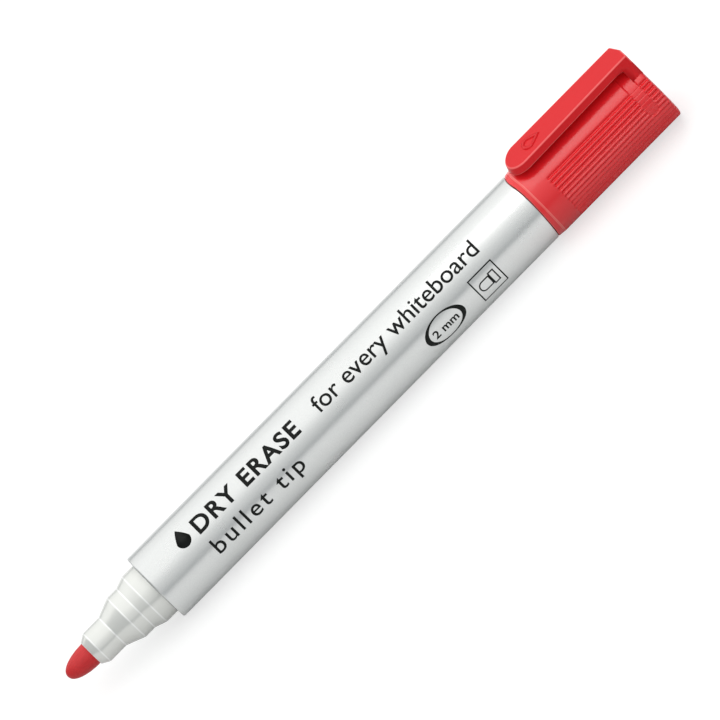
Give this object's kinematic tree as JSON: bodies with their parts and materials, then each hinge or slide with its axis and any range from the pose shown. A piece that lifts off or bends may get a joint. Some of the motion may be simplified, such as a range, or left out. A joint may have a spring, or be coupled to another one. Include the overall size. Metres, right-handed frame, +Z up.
{
  "type": "whiteboard marker",
  "caption": "Round silver dry-erase marker with a bullet nib, a stepped white nib holder and a fluted red cap with a pocket clip, posted on its rear end.",
  "frame": {"origin": "under the middle of the marker's length, on the surface it lies on", "axes": "+X along the marker's axis from the nib towards the cap; +Z up, towards the pocket clip; +Y across, to the left when looking from the nib to the cap"},
  "size_m": [0.1542, 0.0153, 0.0184],
  "materials": {
    "nib_fibre": "ink-soaked bonded fibre, matte and slightly damp",
    "holder_plastic": "off-white polypropylene, satin gloss, slightly translucent",
    "barrel_plastic": "silver polypropylene, satin metallic, with dark print",
    "core_fibre": "polyester fibre core soaked with red ink",
    "core_film": "clear thin film",
    "plug_plastic": "red polypropylene, satin gloss",
    "cap_plastic": "red polypropylene, moulded, satin gloss",
    "liner_plastic": "natural soft polyethylene"
  },
  "bodies": {
    "barrel": {"barrel": "barrel_plastic", "nib_holder": "holder_plastic", "nib": "nib_fibre", "ink_reservoir": "core_fibre", "reservoir_film": "core_film", "end_plug": "plug_plastic"},
    "cap": {"cap_shell": "cap_plastic", "inner_cap": "liner_plastic"},
    "clip": {"pocket_clip": "cap_plastic"}
  },
  "joints": [
    {"name": "cap_pull", "type": "slide", "parent": "barrel", "child": "cap", "axis": [1, 0, 0], "range_m": [0, 0.035]},
    {"name": "clip_flex", "type": "hinge", "parent": "cap", "child": "clip", "pos_m": [0.07412, 0, 0.01845], "axis": [0, 1, 0], "range_deg": [0, 6], "stiffness_Nm_per_rad": 0.3}
  ]
}
